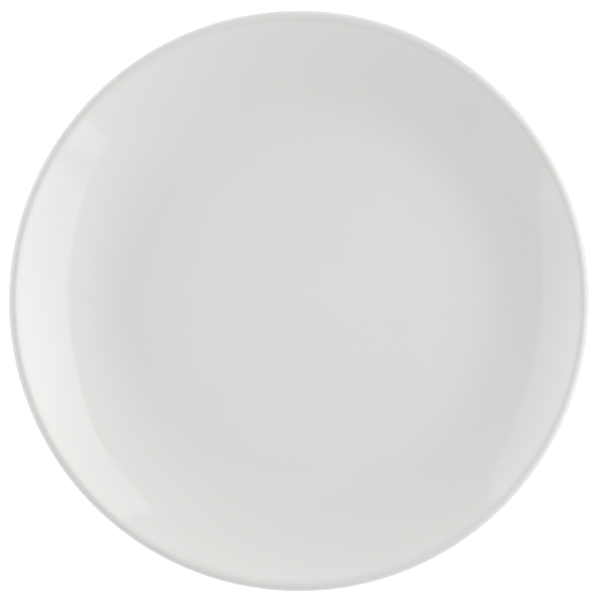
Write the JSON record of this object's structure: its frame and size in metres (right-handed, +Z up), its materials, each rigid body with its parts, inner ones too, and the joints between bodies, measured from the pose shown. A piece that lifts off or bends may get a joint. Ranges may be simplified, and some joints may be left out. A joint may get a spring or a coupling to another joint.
{
  "type": "dessert plate",
  "caption": "Round coupe dessert plate of white glazed porcelain with a flat well that curves up into a sloping wall, a rounded lip, and a bare foot ring.",
  "frame": {"origin": "middle of the plane that the foot ring stands on", "axes": "+Z up along the plate's axis of revolution; X and Y in the table plane, and any turn about Z is the same"},
  "size_m": [0.2, 0.2, 0.022],
  "materials": {
    "bisque": "unglazed porcelain, matt and finely grained, polished on the standing face",
    "glaze": "smooth clear glaze over white porcelain, high gloss"
  },
  "bodies": {
    "root": {"porcelain_body": "bisque", "face_glaze": "glaze", "base_glaze": "glaze"}
  },
  "joints": []
}
